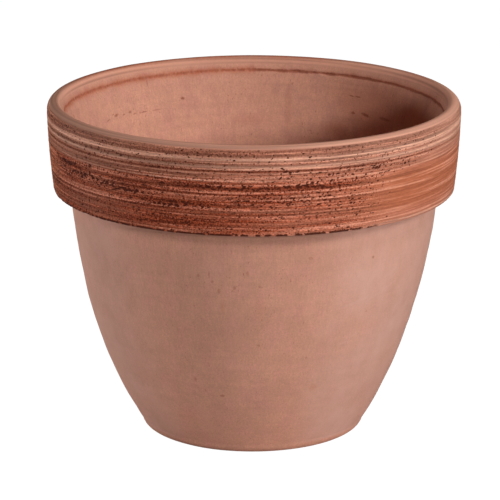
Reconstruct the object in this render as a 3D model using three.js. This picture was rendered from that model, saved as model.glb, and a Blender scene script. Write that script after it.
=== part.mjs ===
// A round terracotta plant pot with a turned rim band: one wall of fired clay, all in one piece.
// Millimetres, +Z up. The pot stands on z = 0 and turns about the Z axis.
import * as THREE from "three";

// Driving dimensions: the outside
const HEIGHT = 246; // foot to the lip's crest
const RIM_DIAMETER = 300; // over the top of the band, the widest place
const BASE_DIAMETER = 162; // of the wall, where it leaves the rounded foot
const BAND_HEIGHT = 65; // lip's crest to the band's lower edge
const BAND_TAPER = 4.5; // how much the band's radius shrinks towards its lower edge
const BAND_BELLY = 0.7; // how far the band's side bows out of a straight cone
const BAND_STEP = 12; // how far the band's lower edge stands out from the body
const UNDERCUT = 3.5; // how far the band's underside slopes down to the body
const BAND_EDGE_RADIUS = 1.4; // round of the band's lower edge
const NECK_RADIUS = 3; // hollow fillet between the body and the band's underside
const FOOT_ROUND_WIDTH = 16; // the rounded foot, an elliptical quarter
const FOOT_ROUND_HEIGHT = 8.5;

// Driving dimensions: the curve of the body's wall
const FOOT_LEAN = THREE.MathUtils.degToRad(36); // outward lean where the wall leaves the foot
const NECK_LEAN = THREE.MathUtils.degToRad(4.5); // outward lean where the wall meets the band
const FOOT_PULL = 0.06; // how long each lean holds, as a share of the wall's height
const NECK_PULL = 0.57;

// Driving dimensions: the lip and the inside
const LIP_OUTER_RADIUS = 6.5;
const LIP_INNER_RADIUS = 3.5;
const COLLAR_DEPTH = 9; // plain collar inside the lip, down to its parting groove
const COLLAR_LEAN = 2.4; // how much the collar's radius shrinks over that depth
const PARTING_WIDTH = 2.4; // the groove under the collar
const PARTING_DEPTH = 1;
const PARTING_STEP = 0.6; // how far the face under the groove stands in from the collar
const FLARE_BEND = 0.4; // where the inside turns from the body's lean to the mouth's, from the neck up
const WALL = 9.5;
const FLOOR = 12;
const FLOOR_ROUND = 14; // inside round between the floor and the wall
const DRAIN_DIAMETER = 28;
const DRAIN_BEVEL = 2;
const RECESS_DEPTH = 3; // hollow under the foot, so that the pot stands on a ring
const FOOT_RING_WIDTH = 14;
const RECESS_BEVEL = 2;

// Turned grooves round the band, topmost first: distance below the lip's crest, width and depth
const GROOVES = [
  { below: 5.4, width: 4.4, depth: 0.7 },
  { below: 13.1, width: 1.4, depth: 0.5 },
  { below: 18.5, width: 2.2, depth: 0.8 },
  { below: 31.5, width: 3.2, depth: 0.6 },
];

// Fineness
const SEGMENTS_ROUND = 64;
const SEGMENTS_WALL = 10;
const SEGMENTS_ARC = 4;
const SEGMENTS_FILLET = 2;
const SEGMENTS_FLARE = 5;
const CLAY = { color: 0xb47a66, roughness: 0.9, metalness: 0 };

const point = (radius, z) => new THREE.Vector2(radius, z);

// Points of an elliptical arc from one angle to the other, in degrees, both ends included.
function arc(radius, z, width, height, from, to, steps = SEGMENTS_ARC) {
  return Array.from({ length: steps + 1 }, (_, i) => {
    const angle = THREE.MathUtils.degToRad(from + ((to - from) * i) / steps);
    return point(radius + width * Math.cos(angle), z + height * Math.sin(angle));
  });
}

// Levels and radii that follow from the driving dimensions
const rimRadius = RIM_DIAMETER / 2;
const bandLowZ = HEIGHT - BAND_HEIGHT;
const bandLowRadius = rimRadius - BAND_TAPER;
const footRadius = BASE_DIAMETER / 2;
const neckRadius = bandLowRadius - BAND_STEP;
const neckZ = bandLowZ - UNDERCUT;
const lipCrestRadius = rimRadius - LIP_OUTER_RADIUS;

// The body's outer wall, from the top of the rounded foot up to the neck under the band.
const wallRise = neckZ - FOOT_ROUND_HEIGHT;
const outerWall = new THREE.CubicBezierCurve(
  point(footRadius, FOOT_ROUND_HEIGHT),
  point(
    footRadius + FOOT_PULL * wallRise * Math.tan(FOOT_LEAN),
    FOOT_ROUND_HEIGHT + FOOT_PULL * wallRise,
  ),
  point(neckRadius - NECK_PULL * wallRise * Math.tan(NECK_LEAN), neckZ - NECK_PULL * wallRise),
  point(neckRadius, neckZ),
);

// The same wall's inner face, WALL thick at each place along the outer one.
function innerWallPoint(share) {
  const outer = outerWall.getPoint(share);
  const along = outerWall.getTangent(share);
  return point(outer.x - along.y * WALL, outer.y + along.x * WALL);
}

function foot() {
  const contactRadius = footRadius - FOOT_ROUND_WIDTH;
  const recessRadius = contactRadius - FOOT_RING_WIDTH;
  return [
    point(DRAIN_DIAMETER / 2, RECESS_DEPTH),
    point(recessRadius - RECESS_BEVEL, RECESS_DEPTH),
    point(recessRadius, 0),
    ...arc(contactRadius, FOOT_ROUND_HEIGHT, FOOT_ROUND_WIDTH, FOOT_ROUND_HEIGHT, -90, 0),
  ];
}

// The underside of the band: a hollow fillet at the neck, then out to the band's lower edge.
function underside() {
  const slope = Math.atan2(UNDERCUT, BAND_STEP);
  const fillet = new THREE.QuadraticBezierCurve(
    point(neckRadius - NECK_RADIUS * Math.tan(NECK_LEAN), neckZ - NECK_RADIUS),
    point(neckRadius, neckZ),
    point(neckRadius + NECK_RADIUS * Math.cos(slope), neckZ + NECK_RADIUS * Math.sin(slope)),
  );
  const edge = new THREE.QuadraticBezierCurve(
    point(
      bandLowRadius - BAND_EDGE_RADIUS * Math.cos(slope),
      bandLowZ - BAND_EDGE_RADIUS * Math.sin(slope),
    ),
    point(bandLowRadius, bandLowZ),
    point(sideRadiusAt(bandLowZ + BAND_EDGE_RADIUS), bandLowZ + BAND_EDGE_RADIUS),
  );
  return [...fillet.getPoints(SEGMENTS_FILLET), ...edge.getPoints(SEGMENTS_FILLET)];
}

// The band's side before it is grooved: a cone that bows out by BAND_BELLY at half height, and the
// lip's round above it.
function sideRadiusAt(z) {
  const aboveBand = z - (HEIGHT - LIP_OUTER_RADIUS);
  if (aboveBand > 0) return lipCrestRadius + Math.sqrt(LIP_OUTER_RADIUS ** 2 - aboveBand ** 2);
  const share = (z - bandLowZ) / (HEIGHT - LIP_OUTER_RADIUS - bandLowZ);
  return bandLowRadius + BAND_TAPER * share + 4 * BAND_BELLY * share * (1 - share);
}

function band() {
  const points = [];
  for (const groove of [...GROOVES].reverse()) {
    const z = HEIGHT - groove.below;
    points.push(
      point(sideRadiusAt(z - groove.width / 2), z - groove.width / 2),
      point(sideRadiusAt(z) - groove.depth, z),
      point(sideRadiusAt(z + groove.width / 2), z + groove.width / 2),
    );
  }
  // one more place low on the band, so that its belly reads
  const lowest = points[0];
  const middleZ = (lowest.y + bandLowZ) / 2;
  return [point(sideRadiusAt(middleZ), middleZ), ...points];
}

// The lip: its outer round starts above the topmost groove.
function lip() {
  const outer = arc(
    lipCrestRadius,
    HEIGHT - LIP_OUTER_RADIUS,
    LIP_OUTER_RADIUS,
    LIP_OUTER_RADIUS,
    0,
    90,
    2 * SEGMENTS_ARC,
  );
  const topGroove = GROOVES[0];
  const grooveTop = HEIGHT - topGroove.below + topGroove.width / 2;
  const inner = arc(
    lipCrestRadius,
    HEIGHT - LIP_INNER_RADIUS,
    LIP_INNER_RADIUS,
    LIP_INNER_RADIUS,
    90,
    180,
  );
  return [...outer.filter((p) => p.y > grooveTop), ...inner.slice(1)];
}

// Inside: the collar, its parting groove, and the face that runs down to the body's inner wall.
function mouth() {
  const collarTop = point(lipCrestRadius - LIP_INNER_RADIUS, HEIGHT - LIP_INNER_RADIUS);
  const collarLow = point(collarTop.x - COLLAR_LEAN, HEIGHT - COLLAR_DEPTH);
  const flareTop = point(collarLow.x - PARTING_STEP, collarLow.y - PARTING_WIDTH);
  const neck = innerWallPoint(1);
  const bendRise = FLARE_BEND * (flareTop.y - neck.y);
  const flare = new THREE.QuadraticBezierCurve(
    flareTop,
    point(neck.x + bendRise * Math.tan(NECK_LEAN), neck.y + bendRise),
    neck,
  );
  return [
    collarLow,
    point(collarLow.x + PARTING_DEPTH, collarLow.y - PARTING_WIDTH / 2),
    ...flare.getPoints(SEGMENTS_FLARE),
  ];
}

function inside() {
  const points = [];
  for (let i = SEGMENTS_WALL - 1; i >= 0; i--) {
    const p = innerWallPoint(i / SEGMENTS_WALL);
    if (p.y > FLOOR + FLOOR_ROUND) points.push(p);
  }
  const last = points[points.length - 1];
  const floorEdge = new THREE.QuadraticBezierCurve(
    last,
    point(footRadius - WALL / Math.cos(FOOT_LEAN), FLOOR),
    point(footRadius - WALL - FLOOR_ROUND, FLOOR),
  );
  return [
    ...points,
    ...floorEdge.getPoints(SEGMENTS_ARC).slice(1),
    point(DRAIN_DIAMETER / 2 + DRAIN_BEVEL, FLOOR),
    point(DRAIN_DIAMETER / 2, FLOOR - DRAIN_BEVEL),
  ];
}

// The whole section, once round: out under the foot, up the outside, over the lip, down the inside
// and back through the drain hole.
function section() {
  const wall = outerWall.getPoints(SEGMENTS_WALL).slice(1, -1);
  const points = [
    ...foot(),
    ...wall.filter((p) => p.y < neckZ - NECK_RADIUS),
    ...underside(),
    ...band(),
    ...lip(),
    ...mouth(),
    ...inside(),
  ];
  return [...points, points[0].clone()];
}

function pot() {
  const geometry = new THREE.LatheGeometry(section(), SEGMENTS_ROUND);
  geometry.rotateX(Math.PI / 2);
  const mesh = new THREE.Mesh(geometry, new THREE.MeshStandardMaterial(CLAY));
  mesh.name = "pot";
  return mesh;
}

const terracottaPot = new THREE.Group();
terracottaPot.name = "terracotta_pot";
terracottaPot.add(pot());

export default terracottaPot;
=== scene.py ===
import math
from functools import partialmethod

import bpy
import numpy as np
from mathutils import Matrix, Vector


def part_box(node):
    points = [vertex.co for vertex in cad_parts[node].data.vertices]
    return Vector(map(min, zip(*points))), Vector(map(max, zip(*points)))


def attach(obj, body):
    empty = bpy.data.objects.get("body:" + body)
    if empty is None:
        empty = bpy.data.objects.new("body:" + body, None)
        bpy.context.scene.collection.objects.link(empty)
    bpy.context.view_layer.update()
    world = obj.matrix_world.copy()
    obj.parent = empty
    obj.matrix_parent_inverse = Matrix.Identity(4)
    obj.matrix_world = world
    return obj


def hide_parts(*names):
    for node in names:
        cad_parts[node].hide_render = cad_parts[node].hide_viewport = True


bl_info = {
    "name": "Terracotta Pot",
    "version": (1, 0, 0),
    "blender": (4, 5, 0),
    "location": "3D View > Sidebar > Terracotta Pot",
    "description": "Builds a thrown terracotta pot with a scraped rim band, and a pale studio for it",
    "category": "Add Mesh",
}

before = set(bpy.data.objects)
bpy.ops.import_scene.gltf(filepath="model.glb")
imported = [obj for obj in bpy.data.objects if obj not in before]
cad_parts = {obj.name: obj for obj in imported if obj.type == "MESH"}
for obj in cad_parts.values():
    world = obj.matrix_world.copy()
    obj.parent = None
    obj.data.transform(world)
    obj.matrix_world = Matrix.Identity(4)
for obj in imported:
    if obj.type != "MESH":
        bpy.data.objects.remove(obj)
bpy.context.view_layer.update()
pot_low, pot_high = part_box("pot")
MM = 1000.0  # millimetres in a metre: the outline and the surface are worked out in millimetres

# Shape of the section, in millimetres and radians, beside the sizes that the panel shows
BAND_TAPER = 4.5
BAND_BELLY = 0.7
UNDERCUT = 3.5
EDGE_ROUND = 1.4
NECK_ROUND = 3.0
FOOT_ROUND_WIDTH = 16.0
FOOT_ROUND_HEIGHT = 8.5
FOOT_LEAN = math.radians(36)
NECK_LEAN = math.radians(4.5)
FOOT_PULL = 0.06
NECK_PULL = 0.57
LIP_OUTER = 6.5
LIP_INNER = 3.5
COLLAR_DEPTH = 9.0
COLLAR_LEAN = 2.4
PARTING_DROP = 2.4
PARTING_STEP = 0.6
FLARE_BEND = 0.4
FLOOR_ROUND = 14.0
DRAIN_BEVEL = 2.0
RECESS_BEVEL = 2.0

# Fineness of the surface
FINE_COLUMNS = 1200  # round the band and the lip
PLAIN_COLUMNS = 240  # round everything else
FIRST_COLUMN = -math.pi / 2  # its azimuth: 0 is the front, and the columns run to the right


# ------------------------------------------------------------------ sizes and finishes


def length_property(name, description, default):
    return bpy.props.FloatProperty(name=name, description=description, default=default, unit="LENGTH")

class PotSizes(bpy.types.PropertyGroup):
    """Sizes of the pot."""

    height: length_property("Height", "From the foot to the lip's crest", pot_high.z - pot_low.z)
    rim_diameter: length_property(
        "Rim diameter", "Over the top of the band, the widest place", pot_high.x - pot_low.x
    )
    base_diameter: length_property("Base diameter", "Of the wall where it leaves the rounded foot", 0.162)
    band_height: length_property("Band height", "From the lip's crest to the band's lower edge", 0.065)
    band_step: length_property("Band step", "How far the band's lower edge stands out from the body", 0.012)
    wall: length_property("Wall", "Thickness of the body's wall", 0.0095)
    floor: length_property("Floor", "Height of the inside floor above the foot", 0.012)
    drain_diameter: length_property("Drain diameter", "Of the hole in the floor", 0.028)
    foot_ring: length_property("Foot ring", "Width of the flat ring that the pot stands on", 0.014)
    recess: length_property("Recess", "Depth of the hollow inside the foot ring", 0.003)

def colour_property(name, description, default):
    return bpy.props.FloatVectorProperty(
        name=name, description=description, default=default, subtype="COLOR", min=0, max=1
    )


class PotFinish(bpy.types.PropertyGroup):
    """Colours of the fired clay and how far the band is torn."""

    clay: colour_property("Clay", "Smooth outside of the body", (0.54, 0.265, 0.182))
    warm_clay: colour_property("Warm clay", "Pinker patches of the smooth clay", (0.57, 0.255, 0.2))
    inner_clay: colour_property("Inner clay", "Inside of the pot", (0.65, 0.312, 0.212))
    scraped_clay: colour_property("Scraped clay", "Where the tool opened the band", (0.46, 0.158, 0.092))
    torn_clay: colour_property("Torn clay", "Where the tool tore the band", (0.34, 0.062, 0.023))
    pale_clay: colour_property("Pale clay", "Rubbed ridges", (0.56, 0.295, 0.205))
    blush: colour_property("Blush", "Orange blush on the lip and by the parting line", (0.5, 0.145, 0.075))
    rust: colour_property("Rust", "Where the fire turned the clay orange", (0.43, 0.12, 0.052))
    # the bloom colour: pale lime bloom, and on the body's flanks also a painted sheen where the light
    # grazes
    bloom_and_sheen: colour_property("Bloom", "Pale lime bloom on the body", (0.61, 0.35, 0.28))
    # the lip colour is paler than the clay: partly wiped clay, partly painted light on the lip's top
    lip: colour_property("Lip", "The lip, wiped smooth", (0.66, 0.33, 0.23))
    # the pit colour: dark clay in the pits and painted shade in their hollows, also the painted shadow line
    # under the band's edge
    pit_and_shade: colour_property("Pit", "Depth of the torn pits", (0.07, 0.013, 0.006))
    parting: colour_property("Parting", "Line under the inner collar", (0.27, 0.07, 0.035))
    tearing: bpy.props.FloatProperty(
        name="Tearing",
        description="How thickly the band is pitted",
        default=1.0,
        min=0.0,
        max=2.0,
        subtype="FACTOR",
    )


def power_property(name, description, default):
    return bpy.props.FloatProperty(name=name, description=description, default=default, unit="POWER")

class StudioSettings(bpy.types.PropertyGroup):
    """The pale studio round the pot."""

    floor_colour: colour_property("Floor", "Colour of the studio floor", (0.8, 0.8, 0.8))
    key_power: power_property("Key light", "Power of the soft light on the right", 16.0)
    front_power: power_property("Front light", "Power of the light in front", 20.5)
    side_power: power_property("Side light", "Power of the low light on the left", 25.0)
    top_power: power_property("Top light", "Power of the weak light from above", 10.0)
    sky: bpy.props.FloatProperty(
        name="Sky", description="Brightness of the even light from all round", default=0.004, min=0.0
    )


# ------------------------------------------------------------------ outline


def bezier(*handles, steps=24):
    """Points along the curve that the handles pull."""
    share = np.linspace(0, 1, steps)[:, None]
    points = [np.asarray(handle, float)[None, :] for handle in handles]
    while len(points) > 1:
        points = [a + (b - a) * share for a, b in zip(points, points[1:])]
    return points[0]


def arc(centre, width, height, start, end, steps=24):
    """Points of an elliptical arc, from one angle in degrees to the other."""
    angle = np.radians(np.linspace(start, end, steps))
    return np.column_stack((centre[0] + width * np.cos(angle), centre[1] + height * np.sin(angle)))


def rounded(corners, radius):
    """A path through the corners, with each inner corner rounded off."""
    corners = [np.asarray(corner, float) for corner in corners]
    path = [corners[0][None, :]]
    for before, corner, after in zip(corners, corners[1:], corners[2:]):
        back = (before - corner) / np.linalg.norm(before - corner)
        on = (after - corner) / np.linalg.norm(after - corner)
        path.append(bezier(corner + back * radius, corner, corner + on * radius, steps=6))
    path.append(corners[-1][None, :])
    return np.vstack(path)


class Section:
    """Levels, radii and curves of the pot's section, in millimetres."""

    def __init__(self, sizes):
        self.height = sizes.height * MM
        self.rim = sizes.rim_diameter * MM / 2
        self.base = sizes.base_diameter * MM / 2
        self.wall = sizes.wall * MM
        self.floor = sizes.floor * MM
        self.drain = sizes.drain_diameter * MM / 2
        self.recess = sizes.recess * MM
        self.ring = sizes.foot_ring * MM
        self.band_height = sizes.band_height * MM
        self.band_low_z = self.height - self.band_height
        self.band_low = self.rim - BAND_TAPER
        self.neck = self.band_low - sizes.band_step * MM
        self.neck_z = self.band_low_z - UNDERCUT
        self.crest = self.rim - LIP_OUTER
        self.slope = math.atan2(UNDERCUT, self.band_low - self.neck)
        rise = self.neck_z - FOOT_ROUND_HEIGHT
        self.wall_handles = (
            (self.base, FOOT_ROUND_HEIGHT),
            (self.base + FOOT_PULL * rise * math.tan(FOOT_LEAN), FOOT_ROUND_HEIGHT + FOOT_PULL * rise),
            (self.neck - NECK_PULL * rise * math.tan(NECK_LEAN), self.neck_z - NECK_PULL * rise),
            (self.neck, self.neck_z),
        )

    def side(self, z):
        """Radius of the band's side, a cone that bows out a little."""
        share = (z - self.band_low_z) / (self.height - LIP_OUTER - self.band_low_z)
        return self.band_low + BAND_TAPER * share + 4 * BAND_BELLY * share * (1 - share)

    def foot(self):
        contact = self.base - FOOT_ROUND_WIDTH
        hollow = contact - self.ring
        under = rounded(
            (
                (self.drain, (self.recess + self.floor) / 2),
                (self.drain, self.recess),
                (hollow - RECESS_BEVEL, self.recess),
                (hollow, 0),
                (contact, 0),
            ),
            1.2,
        )
        turn = arc((contact, FOOT_ROUND_HEIGHT), FOOT_ROUND_WIDTH, FOOT_ROUND_HEIGHT, -90, 0)
        return np.vstack((under[:-1], turn))

    def body(self):
        wall = bezier(*self.wall_handles, steps=120)
        wall = wall[wall[:, 1] < self.neck_z - NECK_ROUND]
        return np.vstack((wall, self.fillet()))

    def fillet(self):
        return bezier(
            (self.neck - NECK_ROUND * math.tan(NECK_LEAN), self.neck_z - NECK_ROUND),
            (self.neck, self.neck_z),
            (
                self.neck + NECK_ROUND * math.cos(self.slope),
                self.neck_z + NECK_ROUND * math.sin(self.slope),
            ),
        )

    def band(self):
        fillet_end = self.fillet()[-1]
        edge = bezier(
            (
                self.band_low - EDGE_ROUND * math.cos(self.slope),
                self.band_low_z - EDGE_ROUND * math.sin(self.slope),
            ),
            (self.band_low, self.band_low_z),
            (self.side(self.band_low_z + EDGE_ROUND), self.band_low_z + EDGE_ROUND),
            steps=8,
        )
        middle = (fillet_end + edge[0]) / 2
        z = np.linspace(self.band_low_z + EDGE_ROUND, self.height - LIP_OUTER, 100)[1:]
        return np.vstack((middle, edge, np.column_stack((self.side(z), z))))

    def lip(self):
        outer = arc((self.crest, self.height - LIP_OUTER), LIP_OUTER, LIP_OUTER, 0, 90)
        inner = arc((self.crest, self.height - LIP_INNER), LIP_INNER, LIP_INNER, 90, 180)
        collar = (self.crest - LIP_INNER, self.height - LIP_INNER)
        collar_low = (collar[0] - COLLAR_LEAN, self.height - COLLAR_DEPTH)
        flare = self.flare()
        return np.vstack((outer, inner[1:], collar_low, flare[:6]))

    def flare(self):
        """The face inside the mouth, from the parting line down to the body's inner wall."""
        top = (
            self.crest - LIP_INNER - COLLAR_LEAN - PARTING_STEP,
            self.height - COLLAR_DEPTH - PARTING_DROP,
        )
        neck = self.inner_wall()[-1]
        rise = FLARE_BEND * (top[1] - neck[1])
        return bezier(top, (neck[0] + rise * math.tan(NECK_LEAN), neck[1] + rise), neck, steps=60)

    def inner_wall(self):
        """The outer wall's curve, moved in by the wall's thickness."""
        outer = bezier(*self.wall_handles, steps=160)
        along = np.gradient(outer, axis=0)
        along /= np.linalg.norm(along, axis=1)[:, None]
        return outer + self.wall * np.column_stack((-along[:, 1], along[:, 0]))

    def inside(self):
        wall = self.inner_wall()
        wall = wall[wall[:, 1] > self.floor + FLOOR_ROUND][::-1]
        turn = bezier(
            wall[-1],
            (self.base - self.wall / math.cos(FOOT_LEAN), self.floor),
            (self.base - self.wall - FLOOR_ROUND, self.floor),
        )
        return np.vstack((self.flare()[5:], wall[1:], turn[1:]))

    def bottom(self):
        return rounded(
            (
                (self.base - self.wall - FLOOR_ROUND, self.floor),
                (self.drain + DRAIN_BEVEL, self.floor),
                (self.drain, self.floor - DRAIN_BEVEL),
                (self.drain, (self.recess + self.floor) / 2),
            ),
            0.8,
        )


def resampled(path, spacing):
    """The path with its points evenly spaced, without its last point."""
    steps = np.linalg.norm(np.diff(path, axis=0), axis=1)
    length = np.concatenate(([0], np.cumsum(steps)))
    count = max(2, math.ceil(length[-1] / spacing))
    at = np.linspace(0, length[-1], count + 1)[:-1]
    return np.column_stack([np.interp(at, length, path[:, axis]) for axis in (0, 1)])


# ------------------------------------------------------------------ surface


def smoothstep(low, high, value):
    share = np.clip((value - low) / (high - low), 0, 1)
    return share * share * (3 - 2 * share)


def bump(value, centre, width):
    return np.exp(-(((value - centre) / width) ** 2))


def turn_from(azimuth, centre):
    """Azimuth counted from a centre, between half a turn left and half a turn right, in degrees."""
    return (np.degrees(azimuth) - centre + 180) % 360 - 180


class Grid:
    """Rows of points round the pot: a run of the section, with as many columns in each row."""

    def __init__(self, path, normals, columns):
        self.radius = path[:, 0]
        self.z = path[:, 1]
        self.normals = normals
        self.columns = columns
        self.azimuth = FIRST_COLUMN + np.arange(columns) * math.tau / columns
        self.shape = (len(path), columns)
        self.step = float(np.mean(np.linalg.norm(np.diff(path, axis=0), axis=1)))
        self.relief = np.zeros(self.shape)
        self.layers = {}

    def noise(self, rng, up, across):
        """A random field of unit spread with soft spots of the given sizes in millimetres."""
        rows, columns = self.shape
        padded = rows + 64
        white = rng.standard_normal((padded, columns))
        row_wave = np.fft.fftfreq(padded, self.step)[:, None] * up
        column_step = math.tau * float(self.radius.mean()) / columns
        column_wave = np.fft.fftfreq(columns, column_step)[None, :] * across
        damp = np.exp(-2 * math.pi**2 * (row_wave**2 + column_wave**2) / 4)
        field = np.fft.ifft2(np.fft.fft2(white) * damp).real[:rows]
        return field / field.std()

    def ends(self, rows=6):
        """Fades to nothing over the first and last rows, where the next run joins on."""
        row = np.arange(self.shape[0])
        fade = np.minimum(row, self.shape[0] - 1 - row) / rows
        return np.clip(fade, 0, 1)[:, None]


# The tool's grooves round the band: millimetres below the lip's crest, half width and depth
GROOVES = (
    (3.9, 0.5, 0.14),
    (5.4, 1.8, 0.16),
    (7.4, 0.5, 0.14),
    (13.1, 0.5, 0.28),
    (18.5, 0.6, 0.3),
    (21.4, 0.4, 0.1),
    (26.7, 0.5, 0.12),
    (30.5, 0.8, 0.06),
)
# The rubbed ridges between them: millimetres below the crest, half width and height
RIDGES = ((9.9, 1.0, 0.07), (15.4, 0.85, 0.065), (20.1, 0.5, 0.03), (23.2, 0.5, 0.04), (25.2, 0.6, 0.05))
# Places where the tool tore deepest: azimuth and half length in degrees, millimetres below, half
# height, and how thickly the pits lie there
DEEP_TEARS = (
    (-52, 12, 36.5, 2.2, 0.36),
    (-38, 9, 38.5, 1.8, 0.36),
    (-62, 8, 31.0, 1.6, 0.3),
    (-24, 12, 45.0, 2.0, 0.3),
    (-8, 16, 30.5, 1.2, 0.3),
    (10, 20, 30.5, 2.6, 0.22),
    (30, 20, 21.0, 3.0, 0.16),
    (32, 16, 27.0, 4.0, 0.12),
    (4, 18, 40.0, 4.0, 0.14),
    (22, 12, 40.0, 5.5, 0.14),
    (150, 22, 38.0, 2.4, 0.3),
    (205, 18, 47.0, 2.4, 0.3),
)
# Fine lines between the grooves, least and most: half width and rise in millimetres, reach in degrees
FINE_LINES = 320
LINE_HALF = (0.28, 0.55)
LINE_RISE = (-0.06, 0.05)
LINE_REACH = (25, 170)
LINE_SLANT = 0.004  # the most that a line climbs, in millimetres a degree
# Pits: how many places are tried, and the mean and spread of the logarithm of their size in millimetres
PITS_TRIED = 52000
PIT_SIZE = (-0.85, 0.35)
LARGEST_PIT = 1.1
DEEP_GROWTH = 3.2  # how much larger pits are where they lie thickest
PIT_WIDTH, PIT_HEIGHT, PIT_DEPTH = 1.25, 0.8, 0.45  # of a pit, for its size
PIT_ROWS, PIT_COLUMNS = 4, 5  # how far a pit can reach each way on the grid
# Where the finish changes, in millimetres below the crest and above the band's lower edge
LIP_EDGE = (1.6, 3.2)
PITS_TOP = 2.4
FACE_EDGE = (-0.4, 1.2)


def torn_share(below, azimuth):
    """How torn the band is, 0 to 1: full on the left and in front, gone on the right, less at the back."""
    turn = turn_from(azimuth, 0)
    low_end = 28 + 24 * smoothstep(32, 18, below)
    front = smoothstep(-96, -80, turn) * smoothstep(low_end + 18, low_end - 4, turn)
    back = 0.7 * smoothstep(60, 35, np.abs(turn_from(azimuth, 180)))
    return np.clip(front + back, 0, 1)


def tool_marks(grid, section, level, rng):
    """Grooves, rubbed ridges and fine lines in millimetres; they come and go with the tool's grip."""
    grip = 1 + 0.3 * grid.noise(rng, 40, 60)
    turned = np.zeros(grid.shape)
    for centre, half, depth in GROOVES:
        turned -= depth * bump(level, centre, half) * grip
    rubbed = np.zeros(grid.shape)
    for centre, half, rise in RIDGES:
        rubbed += rise * bump(level, centre, half) * grip
    lines = np.zeros(grid.shape)
    for _ in range(FINE_LINES):
        centre = rng.uniform(2.5, section.band_height - 0.5)
        half = rng.uniform(*LINE_HALF)
        rise = rng.uniform(*LINE_RISE)
        middle = rng.uniform(-180, 180)
        reach = rng.uniform(*LINE_REACH)
        slant = rng.uniform(-LINE_SLANT, LINE_SLANT)
        turn = turn_from(grid.azimuth[None, :], middle)
        fade = smoothstep(1, 0.6, np.abs(turn) / reach)
        lines += rise * bump(level + slant * turn, centre, half) * fade
    brushed = 0.02 * grid.noise(rng, 0.45, 22) + 0.007 * grid.noise(rng, 0.9, 60)
    return turned, rubbed, lines, brushed

def torn_grit(grid, level, torn, rubbed, rng):
    """How gritty the torn clay is, how thickly pits lie in it, and how far a place is in a groove."""
    deep = np.zeros(grid.shape)
    for middle, reach, centre, half, thickness in DEEP_TEARS:
        turn = turn_from(grid.azimuth[None, :], middle)
        spot = thickness * bump(turn, 0, reach) * bump(level, centre + 0.03 * turn, half)
        deep = np.maximum(deep, spot)
    wander = 0.55 + 0.4 * np.tanh(0.7 * grid.noise(rng, 1.0, 24) + 0.35 * grid.noise(rng, 5, 40))
    low_half = smoothstep(16, 30, level)
    in_groove = 0.45 * bump(level, 5.4, 2.2) + bump(level, 18.5, 0.8) + 0.6 * bump(level, 13.1, 0.5)
    grit = torn * (0.3 + low_half * (0.12 + 0.38 * wander) + 0.55 * in_groove * (0.5 + wander))
    grit = np.clip(grit * (1 - 0.55 * np.clip(rubbed / 0.065, 0, 1)) + 0.3 * deep * torn, 0, 1)
    lined = np.tanh(0.8 * grid.noise(rng, 0.8, 45))
    return np.clip(grit * (1 + 0.3 * lined), 0, 1), deep, in_groove

def open_pits(grid, section, first, last, wanted, deep, rng):
    """Pits between two rows, as likely as wanted and larger where deep: their share and depth."""
    rows, columns = grid.shape
    row = rng.uniform(first, last, PITS_TRIED)
    column = rng.uniform(0, columns, PITS_TRIED)
    chance = rng.uniform(0, 1, PITS_TRIED)
    size = np.minimum(rng.lognormal(*PIT_SIZE, PITS_TRIED), LARGEST_PIT)
    nearest = (row.astype(int), column.astype(int) % columns)
    kept = chance < wanted[nearest]
    row, column, size = row[kept], column[kept], size[kept]
    size = size * (1 + DEEP_GROWTH * deep[nearest][kept])
    column_step = math.tau * section.rim / columns
    row_step = float(np.mean(np.diff(grid.z[first:last])))
    pit_and_shade, pit_depth = np.zeros(grid.shape), np.zeros(grid.shape)
    for down in range(-PIT_ROWS, PIT_ROWS + 1):
        for along in range(-PIT_COLUMNS, PIT_COLUMNS + 1):
            at_row = np.clip(np.rint(row).astype(int) + down, 0, rows - 1)
            at_column = np.rint(column).astype(int) + along
            across = (at_column - column) * column_step / (size * PIT_WIDTH)
            up = (at_row - row) * row_step / (size * PIT_HEIGHT)
            shape = np.clip(1 - across**2 - up**2, 0, 1)
            np.maximum.at(pit_and_shade, (at_row, at_column % columns), shape)
            np.maximum.at(pit_depth, (at_row, at_column % columns), shape * PIT_DEPTH * size)
    return pit_and_shade, pit_depth

def parting_line(grid, section, inner, rng):
    """The line under the inner collar, wider on the left: its share, the blush beside it, its depth."""
    azimuth = grid.azimuth[None, :]
    z = section.height - COLLAR_DEPTH - 0.5 * PARTING_DROP
    wave = 0.12 * grid.noise(rng, 60, 9) + 0.2 * np.sin(2 * azimuth + 1)
    left = smoothstep(-20, -110, turn_from(azimuth, 0))
    left = left * smoothstep(-240, -150, turn_from(azimuth, 90) - 90)
    spread = np.clip(1.25 + 0.4 * left + 0.2 * grid.noise(rng, 60, 5), 0.5, 2)
    line = bump(grid.z[:, None], z + wave, spread) * inner
    beside = bump(grid.z[:, None], z + wave, 1.5 * spread) * inner
    depth = 0.75 * line * (1 + 0.3 * grid.noise(rng, 2, 3))
    return line * (1 - 0.4 * left), beside * (0.35 + 0.65 * left), depth

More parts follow.
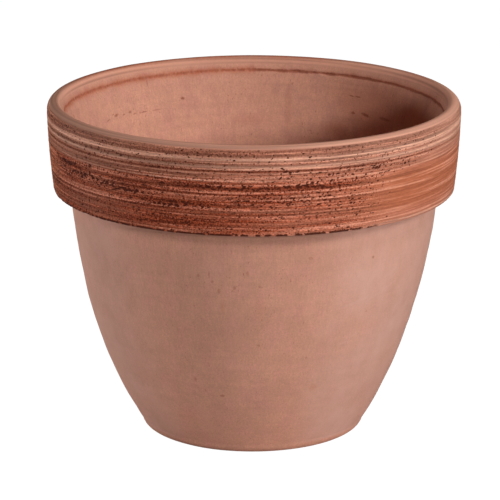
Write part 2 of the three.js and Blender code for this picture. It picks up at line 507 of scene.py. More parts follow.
def band_surface(grid, section, tearing, rng):
    """Grooves, ridges, torn pits and the ragged edge of the band, and the smooth lip above it."""
    azimuth = grid.azimuth[None, :]
    turn = turn_from(azimuth, 0)
    crest_row = int(np.argmax(grid.z))
    outside = (np.arange(grid.shape[0]) <= crest_row)[:, None]
    inner = ~outside
    drift = 0.4 * np.sin(azimuth + 0.7) + 0.2 * np.sin(2 * azimuth + 2.1)
    below = section.height - grid.z[:, None] + 0 * azimuth
    level = below + drift
    above_edge = grid.z[:, None] - section.band_low_z
    on_side = smoothstep(*LIP_EDGE, below) * outside
    on_face = smoothstep(*FACE_EDGE, above_edge) * on_side

    turned, rubbed, lines, brushed = tool_marks(grid, section, level, rng)
    torn = torn_share(level, azimuth)
    grit, deep, in_groove = torn_grit(grid, level, torn, rubbed, rng)
    rough = grit * (0.06 * grid.noise(rng, 0.8, 1.3) + 0.04 * grid.noise(rng, 1.6, 3.0))
    first = np.searchsorted(above_edge[: crest_row + 1, 0], 0.0)
    last = np.searchsorted(-below[: crest_row + 1, 0], -PITS_TOP)
    wanted = tearing * (0.05 + 0.35 * grit + deep) * torn
    pit_and_shade, pit_depth = open_pits(grid, section, first, last, wanted, deep, rng)

    # the lower edge: ragged where the clay is torn, with a dark line of pits and painted shadow under the
    # edge there, and a painted pale highlight along it where it isn't torn
    ragged = np.clip(grid.noise(rng, 2.0, 1.6), -1.5, 2.5)
    bite = bump(above_edge, 0.3, 0.9) * (0.05 + 0.1 * torn) * ragged
    pit_and_shade = np.maximum(pit_and_shade, 0.95 * bump(above_edge, 0.2, 1.2) * torn * (ragged > -0.7))
    painted_edge_highlight = 0.8 * bump(above_edge, 1.6, 0.9) * (1 - torn)

    parting, beside, groove = parting_line(grid, section, inner, rng)
    worn = 0.05 * grid.noise(rng, 5, 40) + 0.02 * grid.noise(rng, 1.5, 12)
    cut = (turned + rubbed + lines + brushed + rough) * on_face
    grid.relief = cut - pit_depth * on_face - bite - groove + worn * (1 - on_face)

    # tones: pale under the lip, rusty towards both ends of the torn part, blushed on the lip's back
    stripes = grid.noise(rng, 1.0, 90)
    wiped = 0.4 + 0.25 * smoothstep(10, 40, turn) + 0.2 * (1 - torn)
    upper = smoothstep(26, 12, level) * wiped * (1 - 0.7 * np.clip(in_groove, 0, 1))
    rust = 0.8 * smoothstep(18, 46, turn) * smoothstep(130, 95, turn) * smoothstep(22, 34, level)
    rust = rust * smoothstep(63, 50, level) + smoothstep(-60, -82, turn) * 0.9 * on_side
    flushed = np.clip(0.85 + 0.25 * grid.noise(rng, 60, 22), 0, 1)
    behind = 0.12 + 0.88 * smoothstep(95, 125, np.abs(turn)) + 0.35 * bump(turn, 2, 12)
    lip_line = bump(grid.radius[:, None], section.crest - 0.1, 2.3) * (below < 6) * flushed * behind
    # the relief layer darkens the clay where the band's relief is low, partly as painted shade in the
    # grooves; it also carries fine stripes and the lip's lines
    shown = turned + rubbed + (0.6 + 3.0 * torn) * lines + 4 * brushed
    # where the lip's colour goes: paler, partly painted light on its top
    lip = (1 - on_side) * smoothstep(0.5, 2.0, grid.radius[:, None] - section.crest + LIP_INNER + 2)
    on_lip = lip * (0.18 * stripes + bump(turn, 7, 12) * (0.2 * stripes - 0.25))
    on_band = shown * (1.1 + 0.5 * torn) * on_face + (0.05 + 0.08 * torn) * stripes * on_side
    paler = 0.4 * smoothstep(-28, 28, turn) + 0.3 * bump(turn, -52, 16)
    grid.layers = {
        "scraped": smoothstep(-1.8, -0.8, above_edge) * on_side,
        "lip": lip,
        "relief": np.clip(0.5 + on_band + on_lip, 0, 1),
        "pit_and_shade": pit_and_shade,
        "grit": grit * on_face * (1 - paler),
        # rubbed ridges and the wiped zone, and the painted highlight along the lower edge
        "rubbed": np.clip(0.6 * rubbed / 0.075 + upper + painted_edge_highlight, 0, 1) * on_face,
        "rust": np.clip(rust * on_face + 1.3 * lip_line + beside, 0, 1),
        "parting": np.clip(parting, 0, 1),
        "inside": inner * smoothstep(-1, -4, grid.radius[:, None] - section.crest + 0 * azimuth),
    }

def body_surface(grid, section, tearing, rng):
    """Soft rings and hollows that the hands left on the body, pale bloom and painted sheen on its flanks,
    and a painted shadow under the band.
    """
    rings = 0.09 * grid.noise(rng, 7, 160) + 0.2 * grid.noise(rng, 26, 220)
    skin = 0.02 * grid.noise(rng, 3, 5)
    grid.relief = (rings + skin) * grid.ends()
    turn = turn_from(grid.azimuth[None, :], 0)
    # pale flanks right and left: partly lime bloom, partly a painted sheen where the light grazes the body
    right = smoothstep(12, 42, turn) * smoothstep(150, 110, turn)
    left = smoothstep(-28, -58, turn) * smoothstep(-150, -120, turn)
    # painted shadow under the band's overhang: the clay darker just below the neck, most in front, stored
    # in the relief layer
    shadowed = smoothstep(section.neck_z - 9, section.neck_z - 1, grid.z[:, None])
    shadowed = shadowed * (0.35 + 0.65 * smoothstep(70, 10, np.abs(turn)))
    grid.layers = {
        "bloom_and_sheen": (right + left) * (0.75 + 0.12 * grid.noise(rng, 25, 30)),
        "relief": 0.5 - 0.5 * shadowed,
    }


def inside_surface(grid, section, tearing, rng):
    """Throwing lines up the inner wall."""
    lines = 0.08 * grid.noise(rng, 4, 120) + 0.25 * grid.noise(rng, 14, 260)
    grid.relief = (lines + 0.02 * grid.noise(rng, 4, 6)) * grid.ends()
    grid.layers = {"inside": np.ones(grid.shape)}


def bottom_surface(grid, section, tearing, rng):
    """Soft unevenness that the hand left on the floor."""
    grid.relief = 0.08 * grid.noise(rng, 5, 30) * grid.ends()
    grid.layers = {"inside": np.ones(grid.shape)}


def foot_surface(grid, section, tearing, rng):
    """The foot, cut from the wheel and worn where it stands."""
    standing = bump(grid.z[:, None], 0, 1.2)
    cut = 0.1 * grid.noise(rng, 4, 18) * (1 - 0.9 * standing)
    grid.relief = cut * grid.ends()


# each run of the section: its name, row spacing in millimetres, columns and surface
RUNS = (
    ("foot", 1.7, PLAIN_COLUMNS, foot_surface),
    ("body", 1.9, PLAIN_COLUMNS, body_surface),
    ("band", 0.52, FINE_COLUMNS, band_surface),
    ("inside", 2.4, PLAIN_COLUMNS, inside_surface),
    ("bottom", 2.2, PLAIN_COLUMNS, bottom_surface),
)
LAYERS = ("scraped", "relief", "pit_and_shade", "grit", "rubbed", "rust", "parting", "inside", "bloom_and_sheen", "lip")


def lay_grids(section, tearing):
    """The runs of rows, each with its relief and its layers."""
    paths = {
        "foot": section.foot(),
        "body": section.body(),
        "band": np.vstack((section.band(), section.lip()[1:])),
        "inside": section.inside(),
        "bottom": section.bottom(),
    }
    spaced = []
    names = list(paths)
    for run, following in zip(RUNS, names[1:] + names[:1]):
        joined = np.vstack((paths[run[0]], paths[following][0]))
        spaced.append(resampled(joined, run[1]))
    whole = np.vstack(spaced)
    along = np.roll(whole, -1, axis=0) - np.roll(whole, 1, axis=0)
    along /= np.linalg.norm(along, axis=1)[:, None]
    normals = np.column_stack((along[:, 1], -along[:, 0]))
    grids = []
    start = 0
    for seed, (path, run) in enumerate(zip(spaced, RUNS), 1):
        grid = Grid(path, normals[start : start + len(path)], run[2])
        run[3](grid, section, tearing, np.random.default_rng(seed))
        grids.append(grid)
        start += len(path)
    return grids


LEAN = 1.0  # the band sits this much to the right of the body, as on a pot lifted from the wheel
OVAL = 0.0012  # how far the mouth is out of round


def grid_points(grid, section):
    """Places of the grid's points in millimetres: as laid, and with relief and the pot's lean."""
    sine, cosine = np.sin(grid.azimuth)[None, :], -np.cos(grid.azimuth)[None, :]
    laid = np.stack(
        (
            grid.radius[:, None] * sine,
            grid.radius[:, None] * cosine,
            grid.z[:, None] + 0 * sine,
        ),
        axis=-1,
    )
    risen = smoothstep(0.3 * section.height, section.neck_z, grid.z)[:, None]
    oval = 1 + OVAL * risen * np.cos(2 * (grid.azimuth[None, :] - 0.6))
    radius = (grid.radius[:, None] + grid.relief * grid.normals[:, :1]) * oval
    z = grid.z[:, None] + grid.relief * grid.normals[:, 1:]
    placed = np.stack((radius * sine + LEAN * risen, radius * cosine, np.maximum(z, 0)), axis=-1)
    return laid.reshape(-1, 3), placed.reshape(-1, 3)


# ------------------------------------------------------------------ mesh


def quads(start_a, start_b, columns):
    """Faces between two rows with as many points."""
    column = np.arange(columns)
    after = (column + 1) % columns
    corners = np.column_stack((start_a + column, start_a + after, start_b + after, start_b + column))
    return corners, np.column_stack((column, column + 1, column + 1, column)) / columns


def stitches(start_few, few, start_many, many, upward):
    """Triangles between a row of few points and a row of many."""
    ratio = many // few
    column = np.arange(many)
    coarse = (column + ratio // 2) // ratio
    fan = np.column_stack((start_many + (column + 1) % many, start_many + column, start_few + coarse % few))
    fan_share = np.column_stack(((column + 1) / many, column / many, coarse / few))
    turning = np.flatnonzero(np.diff(coarse, append=few) > 0)
    base = coarse[turning]
    gap = np.column_stack(
        (
            start_few + base % few,
            start_few + (base + 1) % few,
            start_many + (turning + 1) % many,
        )
    )
    gap_share = np.column_stack((base / few, (base + 1) / few, (turning + 1) / many))
    faces = np.vstack((fan, gap))
    shares = np.vstack((fan_share, gap_share))
    if not upward:
        faces, shares = faces[:, ::-1], shares[:, ::-1]
    return faces, shares


def fill_mesh(mesh, points, faces, sides):
    """Gives the mesh its points and faces; faces is a flat list, sides the corners of each."""
    mesh.vertices.add(len(points))
    mesh.vertices.foreach_set("co", (points / MM).astype(np.float32).ravel())
    mesh.loops.add(len(faces))
    mesh.loops.foreach_set("vertex_index", faces.astype(np.int32))
    mesh.polygons.add(len(sides))
    starts = np.concatenate(([0], np.cumsum(sides)[:-1])).astype(np.int32)
    mesh.polygons.foreach_set("loop_start", starts)
    mesh.polygons.foreach_set("use_smooth", np.ones(len(sides), bool))
    mesh.update(calc_edges=True)


# Where each run lies on the flat map: left, low, width and height of the front half's strip, and of
# the back half's
STRIPS = {
    "band": ((0.0, 0.79, 1.0, 0.205), (0.0, 0.58, 1.0, 0.205)),
    "body": ((0.0, 0.295, 0.495, 0.28), (0.5, 0.295, 0.495, 0.28)),
    "inside": ((0.0, 0.115, 0.495, 0.175), (0.5, 0.115, 0.495, 0.175)),
    "foot": ((0.0, 0.058, 0.495, 0.052), (0.5, 0.058, 0.495, 0.052)),
    "bottom": ((0.0, 0.0, 0.495, 0.053), (0.5, 0.0, 0.495, 0.053)),
}
MARGIN = 0.004


def mapped(name, share, climb):
    """Places on the flat map of face corners, from their share of a turn and of the run's length."""
    front = share.mean(axis=1) < 0.5
    u, v = np.empty_like(share), np.empty_like(climb)
    for half, (left, low, width, height) in zip((front, ~front), STRIPS[name]):
        start = 0.0 if half is front else 0.5
        u[half] = left + MARGIN + (share[half] - start) * 2 * (width - 2 * MARGIN)
        v[half] = low + MARGIN + climb[half] * (height - 2 * MARGIN)
    return np.stack((u, v), axis=-1)


def pot_mesh(section, tearing):
    """The whole pot as one closed mesh, with the layers that its finish reads."""
    grids = lay_grids(section, tearing)
    laid, placed = zip(*(grid_points(grid, section) for grid in grids))
    names = [run[0] for run in RUNS]
    flat_faces, sides, flat_map = [], [], []
    starts = np.concatenate(([0], np.cumsum([grid.shape[0] * grid.columns for grid in grids])))

    def keep(name, faces, share, climb):
        flat_faces.append(faces.ravel())
        sides.append(np.full(len(faces), faces.shape[1]))
        flat_map.append(mapped(name, share, climb).reshape(-1, 2))

    for index, (name, grid) in enumerate(zip(names, grids)):
        rows, columns = grid.shape
        for row in range(rows - 1):
            low = starts[index] + row * columns
            faces, share = quads(low, low + columns, columns)
            climb = np.repeat([[row, row, row + 1, row + 1]], columns, axis=0) / rows
            keep(name, faces, share, climb)
        last = starts[index] + (rows - 1) * columns
        onward = (index + 1) % len(grids)
        next_columns = grids[onward].columns
        top, end = (rows - 1) / rows, 1.0
        if next_columns == columns:
            faces, share = quads(last, starts[onward], columns)
            climb = np.repeat([[top, top, end, end]], columns, axis=0)
        elif next_columns > columns:
            faces, share = stitches(last, columns, starts[onward], next_columns, True)
            climb = np.where(faces >= starts[onward], end, top)
        else:
            faces, share = stitches(starts[onward], next_columns, last, columns, False)
            climb = np.where(faces >= starts[onward], end, top)
        keep(name, faces, share, climb)

    mesh = bpy.data.meshes.new("fired_pot")
    fill_mesh(mesh, np.vstack(placed), np.concatenate(flat_faces), np.concatenate(sides))
    flat = mesh.uv_layers.new(name="OFBake")
    flat.data.foreach_set("uv", np.vstack(flat_map).astype(np.float32).ravel())
    vectors = mesh.attributes.new("laid", "FLOAT_VECTOR", "POINT")
    vectors.data.foreach_set("vector", np.vstack(laid).astype(np.float32).ravel())
    for layer in LAYERS:
        blank = 0.5 if layer == "relief" else 0.0
        values = [np.broadcast_to(grid.layers.get(layer, blank), grid.shape).ravel() for grid in grids]
        stored = mesh.attributes.new(layer, "FLOAT", "POINT")
        stored.data.foreach_set("value", np.concatenate(values).astype(np.float32))
    return mesh


# ------------------------------------------------------------------ finish


class Recipe:
    """Short ways to add a material's nodes and join them up."""

    def __init__(self, material):
        material.use_nodes = True
        self.tree = material.node_tree
        self.shader = self.tree.nodes["Principled BSDF"]

    def node(self, kind, inputs=(), **settings):
        """Adds a node; inputs are values or sockets by name or place."""
        made = self.tree.nodes.new(kind)
        for name, value in settings.items():
            setattr(made, name, value)
        for name, value in dict(inputs).items():
            self.give(made.inputs[name], value)
        return made

    def give(self, socket, value):
        if isinstance(value, bpy.types.NodeSocket):
            self.tree.links.new(value, socket)
        else:
            socket.default_value = value

    def layer(self, name):
        return self.node("ShaderNodeAttribute", attribute_name=name).outputs["Fac"]

    def places(self):
        """Places on the smooth surface, in millimetres."""
        return self.node("ShaderNodeAttribute", attribute_name="laid").outputs["Vector"]

    def stretched(self, places, across, up):
        """Places scaled so that one unit is a spot of the given size in millimetres."""
        scale = (1 / across, 1 / across, 1 / up)
        inputs = {0: places, 1: scale}
        return self.node("ShaderNodeVectorMath", inputs, operation="MULTIPLY").outputs[0]

    def noise(self, places, across, up=None, detail=2.0, roughness=0.5):
        """Soft random spots of the given size in millimetres, from 0 to 1."""
        where = self.stretched(places, across, up or across)
        inputs = {"Vector": where, "Scale": 1.0, "Detail": detail, "Roughness": roughness}
        return self.node("ShaderNodeTexNoise", inputs).outputs[0]

    def cells(self, places, across, up=None):
        """Distance to the nearest of many random points, in spots of the given size."""
        where = self.stretched(places, across, up or across)
        return self.node("ShaderNodeTexVoronoi", {"Vector": where, "Scale": 1.0}).outputs["Distance"]

    def mark(self, places, azimuth, radius, z, across, up, tilt=0.0):
        """How far a place lies from the middle of a small mark on a wall: 1 at the mark's edge."""
        turn = math.radians(azimuth)
        centre = (radius * math.sin(turn), -radius * math.cos(turn), z)
        inputs = {
            "Vector": places,
            "Location": centre,
            "Rotation": (0, -math.radians(tilt), turn),
            "Scale": (across, MARK_DEPTH, up),
        }
        there = self.node("ShaderNodeMapping", inputs, vector_type="TEXTURE").outputs[0]
        return self.node("ShaderNodeVectorMath", {0: there}, operation="LENGTH").outputs["Value"]

    def marks(self, places, section, table, ragged, soft=0.5):
        """All the marks of a table together, from 0 to 1, with ragged edges."""
        share = 0.0
        crumble = self.times(self.less(ragged, 0.5), 1.2)
        for face, azimuth, z, across, up, tilt, strength in table:
            radius = wall_radius(section, face, z)
            away = self.sum(self.mark(places, azimuth, radius, z, across, up, tilt), crumble)
            share = self.most(share, self.ramp(away, 1.0 + soft, 1.0 - soft, 0.0, strength))
        return share

    def maths(self, operation, a, b):
        return self.node("ShaderNodeMath", {0: a, 1: b}, operation=operation).outputs[0]

    sum = partialmethod(maths, "ADD")
    less = partialmethod(maths, "SUBTRACT")
    times = partialmethod(maths, "MULTIPLY")
    most = partialmethod(maths, "MAXIMUM")

    def ramp(self, value, low, high, start=0.0, end=1.0):
        """Turns values from low to high into start to end, softly at both ends."""
        inputs = {0: value, 1: low, 2: high, 3: start, 4: end}
        return self.node("ShaderNodeMapRange", inputs, interpolation_type="SMOOTHSTEP").outputs[0]

    def mix(self, share, first, second, blend="MIX"):
        """One colour over another."""
        made = self.node("ShaderNodeMix", data_type="RGBA", blend_type=blend)
        self.give(made.inputs[0], share)
        self.give(made.inputs[6], first)
        self.give(made.inputs[7], second)
        return made.outputs[2]

    def shade(self, colour, value, spread):
        """The colour made darker and lighter by a value from 0 to 1, by up to spread."""
        light = self.ramp(value, 0.0, 1.0, 1 - spread, 1 + spread)
        vector = self.node("ShaderNodeCombineXYZ", {0: light, 1: light, 2: light}).outputs[0]
        inputs = {0: colour, 1: vector}
        return self.node("ShaderNodeVectorMath", inputs, operation="MULTIPLY").outputs[0]


MARK_DEPTH = 6.0  # millimetres into the wall that a mark reaches
INSIDE, OUTSIDE = True, False
# Marks on the walls: face, azimuth in degrees and height, half width and half height in millimetres,
# tilt in degrees and strength
DARK_MARKS = (
    (INSIDE, -156, 218, 1.5, 1, 10, 0.75),
    (INSIDE, -101.5, 226, 1, 1, 0, 0.6),
    (INSIDE, -124, 212, 2, 0.5, -16, 0.45),
    (INSIDE, -127, 215, 1, 0.5, -10, 0.45),
    (INSIDE, -128.5, 214, 2, 1, -8, 0.6),
    (INSIDE, -132, 213, 1.5, 0.5, -8, 0.5),
    (INSIDE, -135, 214, 1.5, 1, -6, 0.55),
    (INSIDE, -137, 212, 1.5, 0.5, -6, 0.5),
    (INSIDE, -141, 212, 3, 0.5, -3, 0.5),
    (INSIDE, -146, 212, 4, 0.5, -2, 0.35),
    (INSIDE, -144, 232, 0.5, 2.5, 0, 0.4),
    (INSIDE, 146.5, 222, 2, 0.5, 4, 0.7),
    (INSIDE, 144, 222, 2.5, 0.5, 6, 0.65),
    (INSIDE, 145, 210, 1.5, 1, 0, 0.65),
    (INSIDE, 140, 210, 4, 1, 12, 0.7),
    (INSIDE, 131.5, 210, 6, 1, 4, 0.5),
    (INSIDE, 168.5, 210, 2.5, 22, 0, 0.15),
    (OUTSIDE, -12, 52, 1.5, 1, 0, 0.5),
    (OUTSIDE, 40, 154, 1, 1, 0, 0.5),
    (OUTSIDE, -17.5, 147, 1, 1, 0, 0.35),
    (OUTSIDE, -14, 148, 0.5, 2, 0, 0.4),
    (OUTSIDE, -13, 143, 1, 1, 0, 0.35),
    (OUTSIDE, -11, 136, 1, 2, 0, 0.35),
    (OUTSIDE, -6, 139, 1, 1.5, 0, 0.35),
    (OUTSIDE, -2, 150, 1, 2, 0, 0.3),
    (OUTSIDE, 2, 140, 1, 1, 0, 0.35),
    (OUTSIDE, 11.5, 144, 0.5, 1.5, 0, 0.35),
    (OUTSIDE, 2, 94, 1, 1, 0, 0.3),
    (OUTSIDE, -22, 64, 1, 2, 0, 0.3),
    (OUTSIDE, 17.5, 160, 1.5, 1, 0, 0.3),
    (OUTSIDE, 41, 112, 1, 0.5, 0, 0.3),
    (OUTSIDE, -140, 118, 1.5, 1, 0, 0.5),
    (OUTSIDE, 160, 72, 1.5, 1, 10, 0.4),
)
PALE_MARKS = (
    (OUTSIDE, 37, 122, 14, 1, 12, 0.3),
    (OUTSIDE, 46, 125, 13, 1, 20, 0.35),
    (OUTSIDE, 50, 139, 8, 1, 20, 0.2),
    (OUTSIDE, 33.5, 90, 4, 0.5, 6, 0.45),
    (OUTSIDE, 36.5, 94, 4, 0.5, 18, 0.3),
    (OUTSIDE, 26, 104, 9, 5, 20, 0.1),
    (OUTSIDE, -13, 150, 8, 8, 0, 0.1),
    (OUTSIDE, -150, 100, 22, 1, -12, 0.3),
    (OUTSIDE, 200, 128, 14, 1, 20, 0.25),
)
RUST_MARKS = (
    (OUTSIDE, 24, 57, 2.5, 2, 0, 0.25),
    (OUTSIDE, -30, 30, 9, 6, 10, 0.1),
    (OUTSIDE, -50, 62, 10, 12, 0, 0.1),
    (OUTSIDE, 2, 122, 4, 9, 0, 0.1),
    (OUTSIDE, -10, 124, 1, 4, 0, 0.25),
    (INSIDE, -178, 200, 12, 3, 0, 0.15),
    (INSIDE, 150, 196, 9, 5, 0, 0.4),
    (INSIDE, 138, 214, 30, 24, 0, 0.35),
)


def wall_radius(section, face, z):
    """The wall's radius at a height, on its inside or its outside."""
    path = section.inside() if face is INSIDE else section.body()
    order = np.argsort(path[:, 1])
    return float(np.interp(z, path[order, 1], path[order, 0]))


def opaque(colour):
    return (*colour, 1.0)


# Soft tones of the smooth clay: width and height of a spot in millimetres, detail, roughness, and how
# much darker and lighter they make the clay
SMOOTH_TONES = {
    "clouds": (55, 45, 2, 0.5, 0.08),
    "blotches": (12, 16, 3, 0.5, 0.08),
    "speckle": (1.0, 1.2, 3, 0.75, 0.22),
    "upright": (1.5, 14, 2, 0.5, 0.08),
    "hand_lines": (60, 3.5, 2, 0.5, 0.05),
}
PIT_DARKNESS = (0.95, 0.75, 0.4)  # of large, small and tiny pits
PIT_DROP = (0.25, 0.08)  # millimetres, of large and small pits and of tiny ones
CLAY_ROUGHNESS = 0.75
CLAY_GLOSS = 0.12

def smooth_clay(make, finish, section, places, relief):
    """The clay of the body, the inside and the lip, and its speckle."""
    clay = make.mix(make.layer("inside"), opaque(finish.clay), opaque(finish.inner_clay))
    warm = make.ramp(make.noise(places, 9, 13), 0.42, 0.68, 0.0, 0.45)
    clay = make.mix(warm, clay, opaque(finish.warm_clay))
    tones = {}
    for name, (*spot, spread) in SMOOTH_TONES.items():
        tones[name] = make.noise(places, *spot)
        clay = make.shade(clay, tones[name], spread)
    # the relief layer: painted shadow under the band on the body, and faint lines on the lip
    clay = make.shade(clay, relief, 0.3)
    fleck_ground = make.noise(places, 22, 40, detail=1)
    flecks = make.ramp(make.noise(places, 1.1, 2.6, detail=1), 0.66, 0.76)
    flecks = make.times(flecks, make.ramp(fleck_ground, 0.42, 0.6, 0.1, 0.5))
    clay = make.mix(flecks, clay, opaque(finish.parting))
    # pale flanks: bloom, and partly a painted sheen of grazing light
    bloom_and_sheen = make.times(make.layer("bloom_and_sheen"), make.ramp(tones["blotches"], 0.2, 0.8, 0.6, 1.0))
    clay = make.mix(bloom_and_sheen, clay, opaque(finish.bloom_and_sheen))
    crumbs = make.noise(places, 1.3)
    for table, soft, tone in (
        (PALE_MARKS, 0.8, finish.bloom_and_sheen),
        (RUST_MARKS, 0.9, finish.rust),
        (DARK_MARKS, 0.5, finish.parting),
    ):
        clay = make.mix(make.marks(places, section, table, crumbs, soft), clay, opaque(tone))

    # the lip, wiped smooth and paler, partly as painted light on its top, and the blush on it and by the
    # parting line
    lip_clay = make.shade(tuple(finish.lip), relief, 0.3)
    clay = make.mix(make.times(make.layer("lip"), 0.8), clay, lip_clay)
    blushed = make.ramp(make.noise(places, 2.0, 4.0, detail=3), 0.25, 0.75, 0.55, 1.0)
    clay = make.mix(make.times(make.layer("rust"), blushed), clay, opaque(finish.blush))
    return clay, tones["speckle"]

def band_clay(make, finish, places, relief, grit):
    """The scraped clay of the band, and its long scratches, short scratches and grain."""
    long_scratch = make.noise(places, 30, 0.5, detail=3, roughness=0.65)
    short_scratch = make.noise(places, 5, 0.45)
    grain = make.ramp(make.noise(places, 1.3, 1.0, roughness=0.7), 0.32, 0.68)
    torn = make.ramp(grit, 0.03, 0.75)
    band = make.mix(torn, opaque(finish.scraped_clay), opaque(finish.torn_clay))
    band = make.mix(make.layer("rust"), band, opaque(finish.rust))
    # the rubbed layer: paler rubbed ridges and wiped clay, and a painted highlight along the band's lower
    # edge
    pale_share = make.times(make.layer("rubbed"), make.ramp(long_scratch, 0.3, 0.6, 0.5, 0.95))
    band = make.mix(pale_share, band, opaque(finish.pale_clay))
    pale_lines = make.times(make.ramp(make.sum(relief, make.times(long_scratch, 0.5)), 0.72, 1.0), 0.38)
    pale_lines = make.less(pale_lines, make.times(torn, 0.2))
    band = make.mix(pale_lines, band, opaque(finish.pale_clay))
    # darker where the relief is low and lighter where it is high: in the grooves partly painted shade
    for value, spread in ((relief, 0.4), (long_scratch, 0.3), (short_scratch, 0.25)):
        band = make.shade(band, value, spread)
    band = make.mix(grit, band, make.shade(band, grain, 0.75))
    return band, long_scratch, short_scratch, grain

def pit_shares(make, places, grit):
    """Large pits, which are in the surface too, and the small and tiny ones of gritty clay."""
    ragged = make.noise(places, 0.9, 0.7)
    # the pit layer holds the large pits and the painted shadow line under the band's lower edge
    large = make.ramp(make.sum(make.layer("pit_and_shade"), make.times(ragged, 0.6)), 0.55, 0.85)
    crowd = make.noise(places, 6, 1.6)
    reach = make.times(make.ramp(grit, 0.0, 1.0, 0.0, 0.47), make.ramp(crowd, 0.25, 0.75, 0.75, 1.15))
    small = make.ramp(make.less(reach, make.cells(places, 1.6, 1.25)), -0.06, 0.06)
    tiny = make.ramp(make.less(reach, make.cells(places, 0.9, 0.75)), -0.06, 0.08)
    return large, small, tiny

def fired_clay(finish, section):
    """The fired clay: smooth on the body and inside, scraped, rubbed and pitted on the band."""
    material = bpy.data.materials.new("fired_clay")
    make = Recipe(material)
    places = make.places()
    scraped, relief, grit = make.layer("scraped"), make.layer("relief"), make.layer("grit")
    clay, speckle = smooth_clay(make, finish, section, places, relief)
    band, long_scratch, short_scratch, grain = band_clay(make, finish, places, relief, grit)
    large, small, tiny = pit_shares(make, places, grit)
    # pits and the edge line darkened toward the pit colour: partly painted shade
    shares = [make.times(*pair) for pair in zip((large, small, tiny), PIT_DARKNESS)]
    dark = make.times(make.most(shares[0], make.most(shares[1], shares[2])), scraped)
    band = make.mix(dark, band, opaque(finish.pit_and_shade))
    colour = make.mix(scraped, clay, band)
    smear = make.noise(places, 1.6, 3.0)
    parting = make.ramp(make.sum(make.layer("parting"), make.times(smear, 0.7)), 0.6, 1.3, 0.0, 0.75)
    colour = make.mix(parting, colour, opaque(finish.parting))
    make.give(make.shader.inputs["Base Color"], colour)

    rough = make.sum(make.times(speckle, 0.12), make.times(dark, 0.1))
    make.give(make.shader.inputs["Roughness"], make.sum(rough, CLAY_ROUGHNESS))
    make.shader.inputs["Specular IOR Level"].default_value = CLAY_GLOSS

    # height in millimetres
    scratched = make.sum(make.times(long_scratch, 0.06), make.times(short_scratch, 0.05))
    scratched = make.sum(scratched, make.times(grain, 0.08))
    scratched = make.less(scratched, make.times(make.most(small, large), PIT_DROP[0]))
    scratched = make.less(scratched, make.times(tiny, PIT_DROP[1]))
    height = make.sum(make.times(speckle, 0.05), make.times(scratched, scraped))
    inputs = {"Height": height, "Strength": 1.0, "Distance": 1 / MM}
    make.give(make.shader.inputs["Normal"], make.node("ShaderNodeBump", inputs).outputs[0])
    return material

PAPER_SHARE = 0.9  # how far the floor is burnt out to white, as in a light tent
PAPER_WHITE = 1.12


def floor_finish(colour):
    """The studio floor: matt and very pale."""
    material = bpy.data.materials.new("studio_floor")
    make = Recipe(material)
    places = make.node("ShaderNodeTexCoord").outputs["Object"]
    grain = make.node("ShaderNodeTexNoise", {"Vector": places, "Scale": 3.0}).outputs[0]
    make.give(make.shader.inputs["Base Color"], make.shade(tuple(colour), grain, 0.01))
    make.shader.inputs["Roughness"].default_value = 0.9
    make.shader.inputs["Specular IOR Level"].default_value = 0.0
    seen = make.node("ShaderNodeLightPath").outputs["Is Camera Ray"]
    paper = make.node("ShaderNodeEmission", {"Strength": PAPER_WHITE})
    both = make.node("ShaderNodeMixShader", {0: make.times(seen, PAPER_SHARE)})
    make.tree.links.new(make.shader.outputs[0], both.inputs[1])
    make.tree.links.new(paper.outputs[0], both.inputs[2])
    end = make.tree.nodes["Material Output"]
    make.tree.links.new(both.outputs[0], end.inputs["Surface"])
    return material


# ------------------------------------------------------------------ operators


def place(name, data):
    """An object in the scene that holds the mesh, light or camera."""
    made = bpy.data.objects.new(name, data)
    bpy.context.scene.collection.objects.link(made)
    return made


class POT_OT_fired_pot(bpy.types.Operator):
    """Build the fired pot: body, scraped band, lip, inside and foot, all of one clay"""

    bl_idname = "terracotta.fired_pot"
    bl_label = "Fired pot"

    def execute(self, context):
        section = Section(context.scene.pot_sizes)
        if section.neck <= section.base:
            raise ValueError("the base is too wide for the rim: the wall would lean inwards")
        finish = context.scene.pot_finish
        pot = place("fired_pot", pot_mesh(section, finish.tearing))
        pot.data.materials.append(fired_clay(finish, section))
        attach(pot, "root")
        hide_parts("pot")
        return {"FINISHED"}


# The camera and the lights: azimuth from the front towards the right and elevation in degrees,
# distance in metres
CAMERA_VIEW = (0.0, 15.1, 3.0)
CAMERA_HEIGHT = 0.1321  # above the floor, of the point it looks at
CAMERA_ASIDE = -0.0019  # of that point, to the right of the pot's axis
CAMERA_LENS = 295.7
KEY_VIEW = (60.0, 30.0, 2.2)
FRONT_VIEW = (24.0, 16.5, 2.2)
SIDE_VIEW = (-104.0, 4.0, 2.2)
TOP_VIEW = (60.0, 55.0, 2.2)
# the lights' widths and heights in metres
KEY_SIZE = (0.4, 0.4)
FRONT_SIZE = (0.3, 0.22)
SIDE_SIZE = (0.8, 0.35)
TOP_SIZE = (0.6, 0.6)
FLOOR_SIZE = 16.0


def seen_from(azimuth, elevation, distance, centre):
    """The place at that azimuth, elevation and distance from a centre."""
    turn, rise = math.radians(azimuth), math.radians(elevation)
    level = distance * math.cos(rise)
    return centre + Vector((level * math.sin(turn), -level * math.cos(turn), distance * math.sin(rise)))


def aim(thing, centre):
    """Turns a light or a camera to look at a point."""
    thing.rotation_euler = (centre - thing.location).to_track_quat("-Z", "Y").to_euler()


def soft_light(name, view, size, power):
    data = bpy.data.lights.new(name, "AREA")
    data.shape = "RECTANGLE"
    data.size, data.size_y = size
    data.energy = power
    light = place(name, data)
    centre = Vector((0, 0, pot_high.z * 0.6))
    light.location = seen_from(*view, centre)
    aim(light, centre)


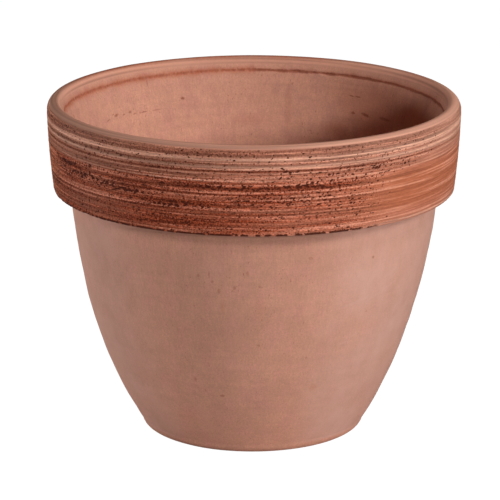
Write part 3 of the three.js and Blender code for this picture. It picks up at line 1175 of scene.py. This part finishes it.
def pale_sky(strength):
    """A white backdrop that gives only a little light of its own."""
    world = bpy.data.worlds.new("pale_sky")
    world.use_nodes = True
    nodes, links = world.node_tree.nodes, world.node_tree.links
    seen = nodes.new("ShaderNodeLightPath").outputs["Is Camera Ray"]
    bright = nodes.new("ShaderNodeMapRange")
    bright.inputs["To Min"].default_value = strength
    bright.inputs["To Max"].default_value = 1.0
    links.new(seen, bright.inputs["Value"])
    links.new(bright.outputs[0], nodes["Background"].inputs["Strength"])
    nodes["Background"].inputs["Color"].default_value = (1, 1, 1, 1)
    return world


class POT_OT_studio(bpy.types.Operator):
    """Build the studio: pale floor, soft lights, even sky and the camera"""

    bl_idname = "terracotta.studio"
    bl_label = "Studio"

    def execute(self, context):
        studio = context.scene.pot_studio
        half = FLOOR_SIZE / 2
        mesh = bpy.data.meshes.new("studio_floor")
        corners = [(-half, -half, 0), (half, -half, 0), (half, half, 0), (-half, half, 0)]
        mesh.from_pydata(corners, [], [(0, 1, 2, 3)])
        mesh.materials.append(floor_finish(studio.floor_colour))
        place("studio_floor", mesh)

        soft_light("key_light", KEY_VIEW, KEY_SIZE, studio.key_power)
        soft_light("front_light", FRONT_VIEW, FRONT_SIZE, studio.front_power)
        soft_light("side_light", SIDE_VIEW, SIDE_SIZE, studio.side_power)
        soft_light("top_light", TOP_VIEW, TOP_SIZE, studio.top_power)
        context.scene.world = pale_sky(studio.sky)
        context.scene.view_settings.view_transform = "Standard"

        data = bpy.data.cameras.new("camera")
        data.lens = CAMERA_LENS
        data.clip_end = 50
        camera = place("camera", data)
        centre = Vector((CAMERA_ASIDE, 0, CAMERA_HEIGHT))
        camera.location = seen_from(*CAMERA_VIEW, centre)
        aim(camera, centre)
        context.scene.camera = camera
        return {"FINISHED"}


class POT_PT_panel(bpy.types.Panel):
    """Sizes, colours and steps of the pot"""

    bl_idname = "POT_PT_panel"
    bl_label = "Terracotta Pot"
    bl_space_type = "VIEW_3D"
    bl_region_type = "UI"
    bl_category = "Terracotta Pot"

    def draw(self, context):
        scene = context.scene
        for group in (scene.pot_sizes, scene.pot_finish, scene.pot_studio):
            box = self.layout.box()
            for name in group.__annotations__:
                box.prop(group, name)
        self.layout.operator(POT_OT_fired_pot.bl_idname)
        self.layout.operator(POT_OT_studio.bl_idname)


CLASSES = (PotSizes, PotFinish, StudioSettings, POT_OT_fired_pot, POT_OT_studio, POT_PT_panel)


def register():
    for item in CLASSES:
        bpy.utils.register_class(item)
    bpy.types.Scene.pot_sizes = bpy.props.PointerProperty(type=PotSizes)
    bpy.types.Scene.pot_finish = bpy.props.PointerProperty(type=PotFinish)
    bpy.types.Scene.pot_studio = bpy.props.PointerProperty(type=StudioSettings)


def unregister():
    del bpy.types.Scene.pot_studio
    del bpy.types.Scene.pot_finish
    del bpy.types.Scene.pot_sizes
    for item in reversed(CLASSES):
        bpy.utils.unregister_class(item)


def main():
    register()
    bpy.ops.terracotta.fired_pot()
    bpy.ops.terracotta.studio()


if __name__ == "__main__":
    main()
